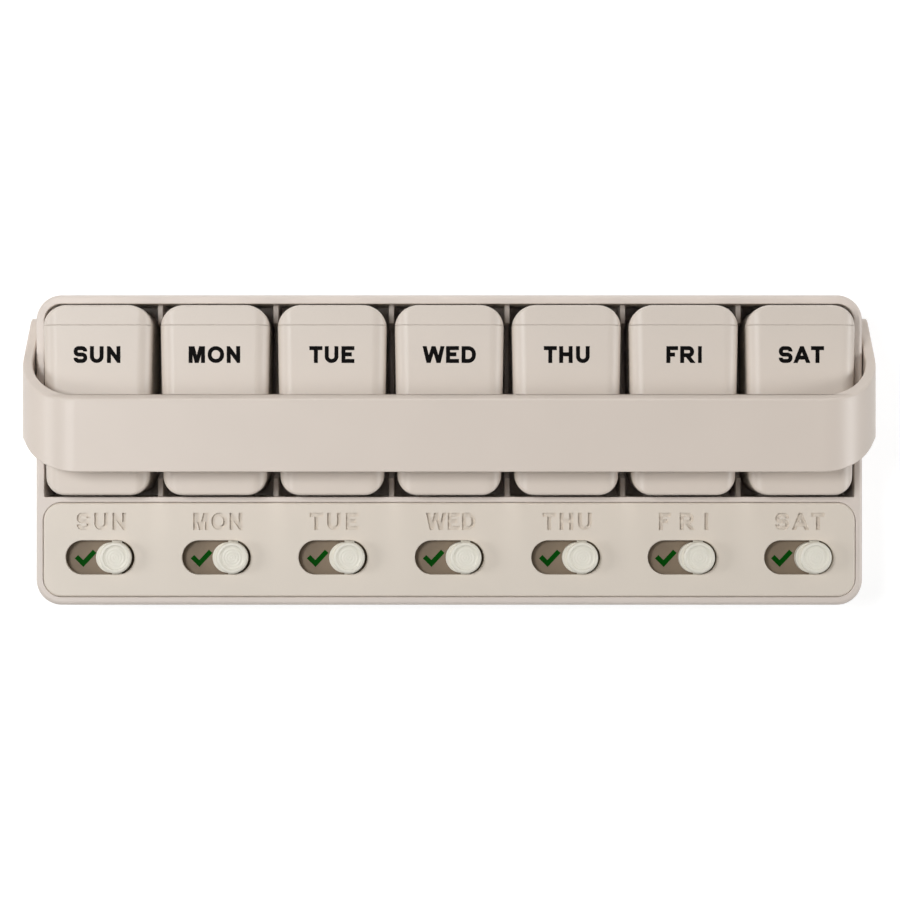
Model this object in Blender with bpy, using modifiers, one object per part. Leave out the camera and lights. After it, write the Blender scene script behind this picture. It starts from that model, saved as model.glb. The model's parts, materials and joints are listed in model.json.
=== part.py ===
"""Seven-day pill organizer: a tray of lift-out day pods with hinged doors, a swinging
carry handle over them, and a tracker panel with one sliding button for each day.

Metres, +Z up. The origin is under the middle of the tray, on the surface that it stands on.
+X runs along the week from the first day to the last, and +Y points to the back of the tray.
"""

import math

import bmesh
import bpy
from mathutils import Matrix, Vector

DAYS = ("sun", "mon", "tue", "wed", "thu", "fri", "sat")

# Gaps, cutter overrun, and the distances under which outline points or vertices are one
SEAT_GAP = 0.0003
OVERRUN = 0.002
SAME_POINT = 0.000001
MERGE_DISTANCE = 0.00001

# Day grid
DAY_PITCH = 0.0310
DIVIDER_THICKNESS = 0.0014
DIVIDER_DROP = 0.0063

# Tray
TRAY_HEIGHT = 0.0240
TRAY_FLOOR = 0.0018
TRAY_CORNER = 0.0067
TRAY_EDGE = 0.0010
SIDE_WALL = 0.0022
BACK_WALL = 0.00235
FRONT_WALL = 0.0021
BAR_THICKNESS = 0.0014

# Pod cup
POD_LENGTH = 0.0502
POD_SIDE_CLEARANCE = 0.0007
POD_END_CLEARANCE = 0.0006
POD_BACK_CORNER = 0.0045
POD_FRONT_CORNER = 0.0053
CUP_HEIGHT = 0.0229
CUP_INSET = 0.0003
CUP_WALL = 0.0011
CUP_FLOOR = 0.0012
CUP_FOOT = 0.0010
CUP_SCOOP = 0.0030

# Pod cover
COVER_SIDE = 0.0023
COVER_END_EDGE = 0.0006
COVER_SKIN = 0.0014
SHOULDER_WIDTH = 0.0038
SHOULDER_DROP = 0.0030
LIP_DEPTH = 0.0015
LIP_THICKNESS = 0.0009
NAIL_NOTCH_RADIUS = 0.0050
NAIL_NOTCH_DEPTH = 0.0007

# Pod door
HINGE_STRIP = 0.0050
DOOR_LENGTH = 0.0187
DOOR_WALL = 0.0013
DOOR_SKIRT = 0.0002

# Tracker panel and the bed under it
PANEL_WIDTH = 0.02465
PANEL_THICKNESS = 0.0013
PANEL_CORNER = 0.0048
PANEL_EDGE = 0.0003
PANEL_SKIRT = 0.0012
PANEL_SIDE_WALL = 0.0018
BED_THICKNESS = 0.0015
BED_LEDGE = 0.0020
BED_RIB = 0.0014
SLOT_LENGTH = 0.0183
SLOT_WIDTH = 0.00905
SLOT_FROM_FRONT = 0.01025

# Sliding button
SLIDER_CLEARANCE = 0.0003
SLIDER_END_GAP = 0.0006
SLIDER_TAIL = 0.00125
NECK_CLEARANCE = 0.000475
FLANGE_THICKNESS = 0.0008
FLANGE_OVERLAP = 0.0015
FLANGE_TOE = 0.0005
STEP_RISE = 0.0012
CAP_RISE = 0.0028
CAP_OVERHANG = 0.00015
CAP_EDGE = 0.0006
DISH_MARGIN = 0.0013
DISH_SLOPE = 0.0004
DISH_DEPTH = 0.00035

# Carry handle
HANDLE_CLEARANCE = 0.0004
STRAP_THICKNESS = 0.0027
STRAP_BEND = 0.0160
STRAP_EDGE = 0.0005
HAND_ROOM = 0.0087
BAND_WIDTH = 0.0192
BAND_SETBACK = 0.0163
BAND_SLANT = 0.0012
SHOULDER_REACH = 0.02895
SHOULDER_HEIGHT = 0.0245
SHOULDER_CURVE = 0.0150
ELBOW_REACH = 0.0257
ELBOW_HEIGHT = 0.0147
ELBOW_CURVE = 0.0120
PIVOT_HEIGHT = 0.0090
PIVOT_FROM_BACK = 0.01165
BOSS_RADIUS = 0.0060
TRUNNION_RADIUS = 0.0025
TRUNNION_CLEARANCE = 0.0003
TRUNNION_RECESS = 0.0002

# Facets: how far an arc's facets may cut inside it, the steps of turned shapes and edges,
# and the angles from which an edge is shaded sharp and is rounded on the handle
ARC_SAG = 0.0001
TURN_STEPS = 20
EDGE_STEPS = 2
SHARP_ANGLE = math.radians(30)
ROUNDED_ANGLE = math.radians(40)

# Where the day grid and the tray stand along X
BAY_HALF = (len(DAYS) * DAY_PITCH - DIVIDER_THICKNESS) / 2
TRAY_HALF = BAY_HALF + SIDE_WALL
DAY_CENTRES = [(number - (len(DAYS) - 1) / 2) * DAY_PITCH for number in range(len(DAYS))]

# Where the walls stand along Y
BAY_LENGTH = POD_LENGTH + 2 * POD_END_CLEARANCE
RECESS_WIDTH = PANEL_WIDTH + 2 * SEAT_GAP
TRAY_WIDTH = BACK_WALL + BAY_LENGTH + BAR_THICKNESS + RECESS_WIDTH + FRONT_WALL
TRAY_BACK = TRAY_WIDTH / 2
TRAY_FRONT = -TRAY_BACK
BAY_BACK = TRAY_BACK - BACK_WALL
BAY_FRONT = BAY_BACK - BAY_LENGTH
RECESS_BACK = BAY_FRONT - BAR_THICKNESS
RECESS_FRONT = RECESS_BACK - RECESS_WIDTH
RECESS_HALF = TRAY_HALF - PANEL_SIDE_WALL

# Levels of the pods
POD_HALF = (DAY_PITCH - DIVIDER_THICKNESS) / 2 - POD_SIDE_CLEARANCE
POD_BACK = BAY_BACK - POD_END_CLEARANCE
POD_FRONT = POD_BACK - POD_LENGTH
CUP_BASE = TRAY_FLOOR + SEAT_GAP
CUP_TOP = CUP_BASE + CUP_HEIGHT
COVER_BASE = CUP_TOP + SEAT_GAP
SHOULDER_BASE = COVER_BASE + COVER_SIDE
CROWN = SHOULDER_BASE + SHOULDER_DROP
SKIN_UNDERSIDE = CROWN - COVER_SKIN
HINGE_LINE = POD_BACK - HINGE_STRIP - SEAT_GAP / 2
DOOR_BACK = HINGE_LINE - SEAT_GAP / 2
DOOR_FRONT = DOOR_BACK - DOOR_LENGTH
DOOR_BASE = SHOULDER_BASE - DOOR_SKIRT

# Levels of the tracker
PANEL_UNDERSIDE = TRAY_HEIGHT - PANEL_THICKNESS
BED_TOP = PANEL_UNDERSIDE - FLANGE_THICKNESS - 2 * SLIDER_CLEARANCE
BED_BASE = BED_TOP - BED_THICKNESS
LEDGE_TOP = BED_BASE - SEAT_GAP
SLOT_Y = RECESS_FRONT + SEAT_GAP + SLOT_FROM_FRONT

# Sliding button, measured from the middle of its cap
NECK_RADIUS = SLOT_WIDTH / 2 - NECK_CLEARANCE
CAP_RADIUS = NECK_RADIUS + CAP_OVERHANG
CAP_FROM_DAY = SLOT_LENGTH / 2 - SLIDER_END_GAP - CAP_RADIUS
NECK_TAIL = NECK_RADIUS + SLIDER_TAIL

# Carry handle
PIVOT_Y = TRAY_BACK - PIVOT_FROM_BACK
STRAP_INNER = TRAY_HALF + HANDLE_CLEARANCE
STRAP_OUTER = STRAP_INNER + STRAP_THICKNESS
BAND_UNDERSIDE = CROWN + HAND_ROOM
BAND_TOP = BAND_UNDERSIDE + STRAP_THICKNESS


def linear(colour):
    """Linear channel values of an sRGB colour written as six hex digits."""
    channels = [int(colour[start:start + 2], 16) / 255 for start in (0, 2, 4)]
    return [value / 12.92 if value <= 0.04045 else ((value + 0.055) / 1.055) ** 2.4
            for value in channels]


def plastic(name, colour, roughness):
    """A plain moulded plastic."""
    material = bpy.data.materials.new(name)
    material.use_nodes = True
    shader = material.node_tree.nodes["Principled BSDF"]
    shader.inputs["Base Color"].default_value = (*linear(colour), 1)
    shader.inputs["Roughness"].default_value = roughness
    shader.inputs["Metallic"].default_value = 0
    return material


def collection(name):
    """A new collection in the scene."""
    made = bpy.data.collections.new(name)
    bpy.context.scene.collection.children.link(made)
    return made


def rounded(corners):
    """Points of a closed outline through (a, b, radius) corners, each rounded by its radius."""
    points = []
    for index, (a, b, radius) in enumerate(corners):
        corner = Vector((a, b))
        if radius == 0:
            points.append(corner)
            continue
        before = (Vector(corners[index - 1][:2]) - corner).normalized()
        after = (Vector(corners[(index + 1) % len(corners)][:2]) - corner).normalized()
        half = before.angle(after) / 2
        centre = corner + (before + after).normalized() * radius / math.sin(half)
        reach = radius / math.tan(half)
        first = corner + before * reach - centre
        last = corner + after * reach - centre
        start = math.atan2(first.y, first.x)
        sweep = (math.atan2(last.y, last.x) - start + math.pi) % math.tau - math.pi
        points += arc(centre, radius, start, sweep)
    return [point for index, point in enumerate(points)
            if (point - points[index - 1]).length > SAME_POINT]


def arc(centre, radius, start, sweep):
    """Points along an arc from the start angle, as many as its sag allows."""
    widest = 2 * math.acos(1 - ARC_SAG / radius)
    steps = math.ceil(abs(sweep) / widest)
    angles = [start + sweep * step / steps for step in range(steps + 1)]
    return [centre + radius * Vector((math.cos(angle), math.sin(angle))) for angle in angles]


def rectangle(half, front, back, front_radius=0, back_radius=0, middle=0):
    """A plan outline, the same on both sides of its middle."""
    return rounded([
        (middle - half, front, front_radius),
        (middle + half, front, front_radius),
        (middle + half, back, back_radius),
        (middle - half, back, back_radius),
    ])


def solid(name, bm, group):
    """An object of its own from a finished bmesh."""
    bmesh.ops.recalc_face_normals(bm, faces=bm.faces)
    mesh = bpy.data.meshes.new(name)
    bm.to_mesh(mesh)
    bm.free()
    made = bpy.data.objects.new(name, mesh)
    group.objects.link(made)
    return made


def add_prism(bm, outline, low, high, axis="Z", low_edge=0, high_edge=0):
    """Extrude an outline along an axis, and round the edges of its two ends."""
    turn = {"X": Matrix(((0, 0, 1), (1, 0, 0), (0, 1, 0))),
            "Y": Matrix(((1, 0, 0), (0, 0, 1), (0, 1, 0))),
            "Z": Matrix.Identity(3)}[axis]
    base = bm.faces.new([bm.verts.new(turn @ Vector((a, b, low))) for a, b in outline])
    raised = bmesh.ops.extrude_face_region(bm, geom=[base], use_keep_orig=True)["geom"]
    top_verts = [item for item in raised if isinstance(item, bmesh.types.BMVert)]
    top_face = next(item for item in raised if isinstance(item, bmesh.types.BMFace))
    bmesh.ops.translate(bm, verts=top_verts, vec=turn @ Vector((0, 0, high - low)))
    for face, width in ((base, low_edge), (top_face, high_edge)):
        if width:
            bmesh.ops.bevel(bm, geom=list(face.edges), offset=width, segments=EDGE_STEPS,
                            profile=0.5, affect="EDGES")


def prism(name, group, outline, low, high, axis="Z", low_edge=0, high_edge=0):
    """One extruded outline as an object."""
    bm = bmesh.new()
    add_prism(bm, outline, low, high, axis, low_edge, high_edge)
    return solid(name, bm, group)


def prisms(name, group, outlines, low, high):
    """Several extruded outlines that stand apart, as one cutter."""
    bm = bmesh.new()
    for outline in outlines:
        add_prism(bm, outline, low, high)
    return solid(name, bm, group)


def turned(name, group, profile):
    """A turned solid whose profile runs from its top centre down the outer side."""
    mesh = bpy.data.meshes.new(name)
    edges = [(number, number + 1) for number in range(len(profile) - 1)]
    mesh.from_pydata([(radius, 0, height) for radius, height in profile], edges, [])
    made = bpy.data.objects.new(name, mesh)
    group.objects.link(made)
    screw = made.modifiers.new("turn", "SCREW")
    screw.steps = TURN_STEPS
    screw.render_steps = TURN_STEPS
    screw.use_merge_vertices = True
    screw.merge_threshold = MERGE_DISTANCE
    return made


def boolean(target, other, operation):
    """Cut, join or intersect with another solid, which then only shapes this one."""
    change = target.modifiers.new(other.name, "BOOLEAN")
    change.operation = operation
    change.solver = "EXACT"
    change.object = other
    other.hide_render = True
    other.display_type = "WIRE"


def finished(maker, origin):
    """The evaluated mesh of an object that served to shape it, measured from an origin."""
    graph = bpy.context.evaluated_depsgraph_get()
    mesh = bpy.data.meshes.new_from_object(maker.evaluated_get(graph))
    mesh.transform(Matrix.Translation(-origin))
    bpy.data.objects.remove(maker)
    return mesh


def place(name, mesh, group, material, origin, shift=0):
    """Put a mesh in the scene as a named piece with its origin on its joint's axis."""
    made = bpy.data.objects.new(name, mesh)
    group.objects.link(made)
    made.location = origin + Vector((shift, 0, 0))
    mesh.materials.clear()
    mesh.materials.append(material)
    mesh.shade_smooth()
    mesh.set_sharp_from_angle(angle=SHARP_ANGLE)
    return made


def build_tray(group, cutters):
    """Open tray: a bay with low dividers at the back, and a ribbed recess for the tracker."""
    plan = rectangle(TRAY_HALF, TRAY_FRONT, TRAY_BACK, TRAY_CORNER, TRAY_CORNER)
    tray = prism("tray", group, plan, 0, TRAY_HEIGHT, low_edge=TRAY_EDGE, high_edge=TRAY_EDGE)
    top = TRAY_HEIGHT + OVERRUN
    bay = rectangle(BAY_HALF, BAY_FRONT, BAY_BACK, 0, TRAY_CORNER - SIDE_WALL)
    boolean(tray, prism("bay_cutter", cutters, bay, TRAY_FLOOR, top), "DIFFERENCE")
    walls = [centre + DAY_PITCH / 2 for centre in DAY_CENTRES[:-1]]
    reach = BAR_THICKNESS / 2
    dividers = [rectangle(DIVIDER_THICKNESS / 2, BAY_FRONT - reach, BAY_BACK + reach, middle=wall)
                for wall in walls]
    divider_top = TRAY_HEIGHT - DIVIDER_DROP
    boolean(tray, prisms("divider_adder", cutters, dividers, TRAY_FLOOR / 2, divider_top), "UNION")
    corner = PANEL_CORNER + SEAT_GAP
    recess = rectangle(RECESS_HALF, RECESS_FRONT, RECESS_BACK, corner, corner)
    boolean(tray, prism("recess_cutter", cutters, recess, LEDGE_TOP, top), "DIFFERENCE")
    pockets = day_cells(RECESS_HALF - BED_LEDGE, RECESS_FRONT + BED_LEDGE, RECESS_BACK - BED_LEDGE,
                        BED_RIB, corner - BED_LEDGE)
    pocket_cutter = prisms("pocket_cutter", cutters, pockets, TRAY_FLOOR, LEDGE_TOP + OVERRUN)
    boolean(tray, pocket_cutter, "DIFFERENCE")
    bm = bmesh.new()
    for side in (-1, 1):
        middle = Vector((side * (BAY_HALF + SIDE_WALL / 2), PIVOT_Y, PIVOT_HEIGHT))
        add_cylinder(bm, middle, TRUNNION_RADIUS + TRUNNION_CLEARANCE, SIDE_WALL + OVERRUN, "X")
    boolean(tray, solid("pivot_cutter", bm, cutters), "DIFFERENCE")
    tray_plastic = plastic("tray_plastic", "D6CDC2", 0.45)
    place("tray", finished(tray, Vector()), group, tray_plastic, Vector())


def day_cells(half, front, back, rib, radius):
    """One rounded cell for each day inside a frame, with ribs between the days."""
    cells = []
    for centre in DAY_CENTRES:
        left = max(centre - (DAY_PITCH - rib) / 2, -half)
        right = min(centre + (DAY_PITCH - rib) / 2, half)
        cells.append(rectangle((right - left) / 2, front, back, radius, radius, (left + right) / 2))
    return cells


def add_cylinder(bm, middle, radius, length, axis):
    """A closed cylinder along X or Z."""
    turn = Matrix.Rotation(math.pi / 2, 4, "Y") if axis == "X" else Matrix.Identity(4)
    bmesh.ops.create_cone(bm, cap_ends=True, segments=TURN_STEPS, radius1=radius, radius2=radius,
                          depth=length, matrix=Matrix.Translation(middle) @ turn)


def build_bed(group):
    """Dark plate under the tracker panel, on the tray's ledge and ribs."""
    plan = rectangle(RECESS_HALF - SEAT_GAP, RECESS_FRONT + SEAT_GAP, RECESS_BACK - SEAT_GAP,
                     PANEL_CORNER, PANEL_CORNER)
    bed = prism("tracker_bed", group, plan, BED_BASE, BED_TOP)
    bed_plastic = plastic("bed_plastic", "85745F", 0.6)
    place("tracker_bed", finished(bed, Vector()), group, bed_plastic, Vector())


def build_panel(group, cutters):
    """Panel flush with the tray's rim, with a skirt and ribs below and a slot for each day."""
    half = RECESS_HALF - SEAT_GAP
    front = RECESS_FRONT + SEAT_GAP
    back = RECESS_BACK - SEAT_GAP
    plan = rectangle(half, front, back, PANEL_CORNER, PANEL_CORNER)
    panel = prism("tracker_panel", group, plan, BED_TOP + SEAT_GAP, TRAY_HEIGHT,
                  high_edge=PANEL_EDGE)
    cells = day_cells(half - PANEL_SKIRT, front + PANEL_SKIRT, back - PANEL_SKIRT,
                      PANEL_SKIRT, PANEL_CORNER - PANEL_SKIRT)
    boolean(panel, prisms("cell_cutter", cutters, cells, BED_TOP, PANEL_UNDERSIDE), "DIFFERENCE")
    end = SLOT_WIDTH / 2
    slots = [rectangle(SLOT_LENGTH / 2, SLOT_Y - end, SLOT_Y + end, end, end, centre)
             for centre in DAY_CENTRES]
    slot_cutter = prisms("slot_cutter", cutters, slots, BED_TOP, TRAY_HEIGHT + OVERRUN)
    boolean(panel, slot_cutter, "DIFFERENCE")
    panel_plastic = plastic("panel_plastic", "D5CCC1", 0.45)
    place("tracker_panel", finished(panel, Vector()), group, panel_plastic, Vector())


def build_sliders(group, cutters):
    """Round sliding buttons: a dished cap on a longer neck, held by a flange under the panel."""
    top = TRAY_HEIGHT + CAP_RISE
    step = TRAY_HEIGHT + STEP_RISE
    dish = CAP_RADIUS - DISH_MARGIN
    edge = arc(Vector((CAP_RADIUS - CAP_EDGE, top - CAP_EDGE)), CAP_EDGE, math.pi / 2, -math.pi / 2)
    profile = [(0, top - DISH_DEPTH), (dish - DISH_SLOPE, top - DISH_DEPTH), (dish, top)]
    profile += edge
    profile += [(CAP_RADIUS, TRAY_HEIGHT + STEP_RISE / 2), (0, TRAY_HEIGHT + STEP_RISE / 2)]
    slider = turned("slider", group, profile)
    neck = rounded([
        (-NECK_TAIL, -NECK_RADIUS, NECK_RADIUS),
        (NECK_RADIUS, -NECK_RADIUS, NECK_RADIUS),
        (NECK_RADIUS, NECK_RADIUS, NECK_RADIUS),
        (-NECK_TAIL, NECK_RADIUS, NECK_RADIUS),
    ])
    flange_base = BED_TOP + SLIDER_CLEARANCE
    boolean(slider, prism("neck_adder", cutters, neck, flange_base, step), "UNION")
    reach = SLOT_WIDTH / 2 + FLANGE_OVERLAP
    toe = NECK_RADIUS + FLANGE_TOE
    flange = rectangle((toe + NECK_TAIL) / 2, -reach, reach, FLANGE_TOE, FLANGE_TOE,
                       middle=(toe - NECK_TAIL) / 2)
    flange_top = flange_base + FLANGE_THICKNESS
    boolean(slider, prism("flange_adder", cutters, flange, flange_base, flange_top), "UNION")
    mesh = finished(slider, Vector((0, 0, TRAY_HEIGHT)))
    slider_plastic = plastic("slider_plastic", "DAD5CA", 0.4)
    origin = Vector((CAP_FROM_DAY, SLOT_Y, TRAY_HEIGHT))
    for day, centre in zip(DAYS, DAY_CENTRES):
        place("slider_" + day, mesh, group, slider_plastic, origin, centre)


def pod_plan(inset):
    """Plan outline of a pod, drawn in from its widest edge."""
    return rectangle(POD_HALF - inset, POD_FRONT + inset, POD_BACK - inset,
                     POD_FRONT_CORNER - inset, POD_BACK_CORNER - inset)


def shoulder_outline(base):
    """Cross-section of the pods' top: flat across, with drooping shoulders along both sides."""
    widen = SHOULDER_WIDTH / SHOULDER_DROP
    right = [(POD_HALF - SHOULDER_WIDTH + turn.x * widen, SHOULDER_BASE + turn.y)
             for turn in arc(Vector((0, 0)), SHOULDER_DROP, 0, math.pi / 2)]
    left = [(-across, height) for across, height in reversed(right)]
    return [(-POD_HALF, base), (POD_HALF, base)] + right + left


def build_cups(group, cutters):
    """Pod cups: thin open boxes with scooped floors."""
    cup = prism("pod_cup", group, pod_plan(CUP_INSET), CUP_BASE, CUP_TOP, low_edge=CUP_FOOT)
    room = prism("room_cutter", cutters, pod_plan(CUP_INSET + CUP_WALL), CUP_BASE + CUP_FLOOR,
                 CUP_TOP + OVERRUN, low_edge=CUP_SCOOP)
    boolean(cup, room, "DIFFERENCE")
    origin = Vector((0, (POD_FRONT + POD_BACK) / 2, CUP_BASE))
    mesh = finished(cup, origin)
    cup_plastic = plastic("cup_plastic", "D8D0C6", 0.45)
    for day, centre in zip(DAYS, DAY_CENTRES):
        place("pod_cup_" + day, mesh, group, cup_plastic, origin, centre)


def build_covers(group, cutters):
    """Pod covers: a fixed deck in front, a hinge strip at the back and rails between them."""
    cover = prism("pod_cover", group, pod_plan(0), COVER_BASE, CROWN, high_edge=COVER_END_EDGE)
    top = prism("shoulder_keeper", cutters, shoulder_outline(COVER_BASE - OVERRUN),
                POD_FRONT - OVERRUN, POD_BACK + OVERRUN, "Y")
    boolean(cover, top, "INTERSECT")
    lip_outside = CUP_INSET + CUP_WALL + SEAT_GAP
    lip = prism("lip_adder", cutters, pod_plan(lip_outside), COVER_BASE - LIP_DEPTH,
                COVER_BASE + OVERRUN)
    boolean(cover, lip, "UNION")
    room = prism("throat_cutter", cutters, pod_plan(lip_outside + LIP_THICKNESS),
                 COVER_BASE - LIP_DEPTH - OVERRUN, SKIN_UNDERSIDE)
    boolean(cover, room, "DIFFERENCE")
    doorway = rectangle(POD_HALF + OVERRUN, DOOR_FRONT - SEAT_GAP, DOOR_BACK + SEAT_GAP)
    doorway_cutter = prism("doorway_cutter", cutters, doorway, DOOR_BASE - SEAT_GAP, CROWN + OVERRUN)
    boolean(cover, doorway_cutter, "DIFFERENCE")
    bm = bmesh.new()
    notch = Vector((0, DOOR_FRONT - SEAT_GAP, CROWN))
    add_cylinder(bm, notch, NAIL_NOTCH_RADIUS, 2 * NAIL_NOTCH_DEPTH, "Z")
    boolean(cover, solid("notch_cutter", bm, cutters), "DIFFERENCE")
    origin = Vector((0, (POD_FRONT + POD_BACK) / 2, COVER_BASE))
    mesh = finished(cover, origin)
    cover_plastic = plastic("cover_plastic", "DAD2C8", 0.42)
    for day, centre in zip(DAYS, DAY_CENTRES):
        place("pod_cover_" + day, mesh, group, cover_plastic, origin, centre)


def build_doors(group, cutters):
    """Pod doors: shells over the back of each cover, swinging on the line at the hinge strip."""
    door = prism("pod_door", group, shoulder_outline(DOOR_BASE), DOOR_FRONT, DOOR_BACK, "Y")
    inside = rectangle(POD_HALF - DOOR_WALL, DOOR_FRONT + DOOR_WALL, DOOR_BACK - DOOR_WALL)
    door_cutter = prism("door_cutter", cutters, inside, DOOR_BASE - OVERRUN, SKIN_UNDERSIDE)
    boolean(door, door_cutter, "DIFFERENCE")
    origin = Vector((0, HINGE_LINE, CROWN))
    mesh = finished(door, origin)
    door_plastic = plastic("door_plastic", "DAD2C8", 0.42)
    for day, centre in zip(DAYS, DAY_CENTRES):
        place("pod_door_" + day, mesh, group, door_plastic, origin, centre)


def tangent_angle(point, centre, radius, side):
    """Where on a circle the line from a point outside it touches, on the chosen side."""
    away = point - centre
    return math.atan2(away.y, away.x) + side * math.acos(radius / away.length)


def handle_side():
    """Side outline of the handle in (Y, Z): the wide band narrows down each arm to its pivot."""
    pivot = Vector((PIVOT_Y, PIVOT_HEIGHT))
    band_back = pivot.x - BAND_SETBACK
    slant_foot = Vector((band_back + BAND_SLANT, BAND_UNDERSIDE))
    elbow = pivot + Vector((-ELBOW_REACH, ELBOW_HEIGHT))
    shoulder = pivot + Vector((-SHOULDER_REACH, SHOULDER_HEIGHT))
    back_angle = tangent_angle(slant_foot, pivot, BOSS_RADIUS, -1)
    front_angle = tangent_angle(elbow, pivot, BOSS_RADIUS, 1) - math.tau
    boss = arc(pivot, BOSS_RADIUS, back_angle, front_angle - back_angle)
    corners = [(band_back, BAND_TOP, 0), (slant_foot.x, slant_foot.y, 0)]
    corners += [(point.x, point.y, 0) for point in boss]
    corners += [
        (elbow.x, elbow.y, ELBOW_CURVE),
        (shoulder.x, shoulder.y, SHOULDER_CURVE),
        (band_back - BAND_WIDTH, BAND_TOP, 0),
    ]
    return rounded(corners)


def build_handle(group, cutters):
    """Carry handle: a bent strap over the pods, with a trunnion in each side of the tray."""
    foot = PIVOT_HEIGHT - BOSS_RADIUS - OVERRUN
    inner_bend = STRAP_BEND - STRAP_THICKNESS
    strap = rounded([
        (STRAP_OUTER, foot, 0),
        (STRAP_OUTER, BAND_TOP, STRAP_BEND),
        (-STRAP_OUTER, BAND_TOP, STRAP_BEND),
        (-STRAP_OUTER, foot, 0),
        (-STRAP_INNER, foot, 0),
        (-STRAP_INNER, BAND_UNDERSIDE, inner_bend),
        (STRAP_INNER, BAND_UNDERSIDE, inner_bend),
        (STRAP_INNER, foot, 0),
    ])
    front = PIVOT_Y - BAND_SETBACK - BAND_WIDTH - OVERRUN
    back = PIVOT_Y + BOSS_RADIUS + OVERRUN
    handle = prism("carry_handle", group, strap, front, back, "Y")
    reach = STRAP_OUTER + OVERRUN
    boolean(handle, prism("side_keeper", cutters, handle_side(), -reach, reach, "X"), "INTERSECT")
    softened = handle.modifiers.new("edges", "BEVEL")
    softened.width = STRAP_EDGE
    softened.segments = EDGE_STEPS
    softened.limit_method = "ANGLE"
    softened.angle_limit = ROUNDED_ANGLE
    bm = bmesh.new()
    tip = BAY_HALF + TRUNNION_RECESS
    root = STRAP_INNER + STRAP_THICKNESS / 2
    for direction in (-1, 1):
        middle = Vector((direction * (tip + root) / 2, PIVOT_Y, PIVOT_HEIGHT))
        add_cylinder(bm, middle, TRUNNION_RADIUS, root - tip, "X")
    boolean(handle, solid("trunnion_adder", bm, cutters), "UNION")
    origin = Vector((0, PIVOT_Y, PIVOT_HEIGHT))
    handle_plastic = plastic("handle_plastic", "D7CEC3", 0.42)
    place("carry_handle", finished(handle, origin), group, handle_plastic, origin)


def main():
    for old in list(bpy.data.objects):
        bpy.data.objects.remove(old)
    group = collection("pill_organizer")
    cutters = collection("cutters")
    build_tray(group, cutters)
    build_bed(group)
    build_panel(group, cutters)
    build_sliders(group, cutters)
    build_cups(group, cutters)
    build_covers(group, cutters)
    build_doors(group, cutters)
    build_handle(group, cutters)


main()
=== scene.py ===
"""Finishes a daily pill organizer: smooth moulded pieces, their plastics and prints, on a stage.

Metres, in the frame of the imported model: +X along the week, +Y to the back, +Z up.
"""

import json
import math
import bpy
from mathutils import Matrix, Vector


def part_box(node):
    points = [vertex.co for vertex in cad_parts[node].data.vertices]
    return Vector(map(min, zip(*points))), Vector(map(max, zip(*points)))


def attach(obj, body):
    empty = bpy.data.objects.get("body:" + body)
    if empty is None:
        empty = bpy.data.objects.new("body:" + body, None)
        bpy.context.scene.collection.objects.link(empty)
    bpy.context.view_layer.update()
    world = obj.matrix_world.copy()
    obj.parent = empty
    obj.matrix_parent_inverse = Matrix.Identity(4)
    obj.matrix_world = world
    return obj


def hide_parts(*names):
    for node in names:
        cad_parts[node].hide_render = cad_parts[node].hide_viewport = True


bl_info = {
    "name": "Daily Pill Organizer",
    "version": (1, 0, 0),
    "blender": (4, 5, 0),
    "location": "3D View > Sidebar > Pill Organizer",
    "description": "Finished pieces for a tray of day pods with a carry handle and a tracker",
    "category": "Object",
}

import bmesh
import bpy
from bpy.props import FloatProperty, FloatVectorProperty, IntProperty, PointerProperty
from mathutils import Matrix, Vector

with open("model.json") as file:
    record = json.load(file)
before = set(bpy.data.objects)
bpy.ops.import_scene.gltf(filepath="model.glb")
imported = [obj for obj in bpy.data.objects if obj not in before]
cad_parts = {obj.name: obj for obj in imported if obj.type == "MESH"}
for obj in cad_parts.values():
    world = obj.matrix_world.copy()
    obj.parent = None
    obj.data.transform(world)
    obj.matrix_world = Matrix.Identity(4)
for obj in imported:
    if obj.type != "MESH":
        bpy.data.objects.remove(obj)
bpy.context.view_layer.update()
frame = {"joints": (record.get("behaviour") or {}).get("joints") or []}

DAYS = ("sun", "mon", "tue", "wed", "thu", "fri", "sat")

# Gap between seated pieces, cutter overrun, and the distance under which two points are one
SEAT_GAP = 0.0003
OVERRUN = 0.002
SAME_POINT = 0.000001
MILLIMETRE = 0.001

# Facets: the step of an arc, and parts of a round edge, a softened edge, the strap's edge,
# a cylinder, the turned cap, one ring of its dish, and a pod's shoulder and length
ARC_STEP = math.radians(6)
EDGE_PARTS = 6
SOFT_PARTS = 3
STRAP_EDGE_PARTS = 4
CYLINDER_PARTS = 64
CAP_PARTS = 72
RING_PARTS = 6
SHOULDER_PARTS = 8
LENGTH_PARTS = 12
ROUND_PROFILE = 0.5

# Angles from which an edge is shaded sharp, and from which it is rounded
SHARP_ANGLE = math.radians(38)
BEVEL_ANGLE = math.radians(35)

# Plastics, inks and paper: sizes of their patterns, shares of the plain colour, how the white
# floor shows to the eye, spreads of grain and gloss, refraction, and the ink's little shine
WHITE = (1, 1, 1)
MELT_CLOUD = 22 * MILLIMETRE
GRAIN_RELIEF = 0.05 * MILLIMETRE
PAD_LIFT = 0.6 * MILLIMETRE
PAPER_FIBRE = 1.5 * MILLIMETRE
CLOUD_SHADES = (0.96, 1.03)
INK_SHADES = (0.85, 1.15)
PAPER_SHADES = (0.88, 0.92)
SHOWN_PAPER_SHADE = 0.4
SHOWN_PAPER_GLOW = 0.8
GRAIN_SPREAD = (0.35, 0.65)
GLOSS_SPREAD = (-0.04, 0.05)
INK_GLOSS = (0.45, 0.65)
ABS_REFRACTION = 1.53
INK_REFRACTION = 1.5
INK_SHINE = 0.04

# Each lamp's azimuth and height over the horizon, in degrees
LAMPS = {"key": (162, 67), "left": (182, 26), "right": (-2, 26), "back": (95, 20)}

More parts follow.
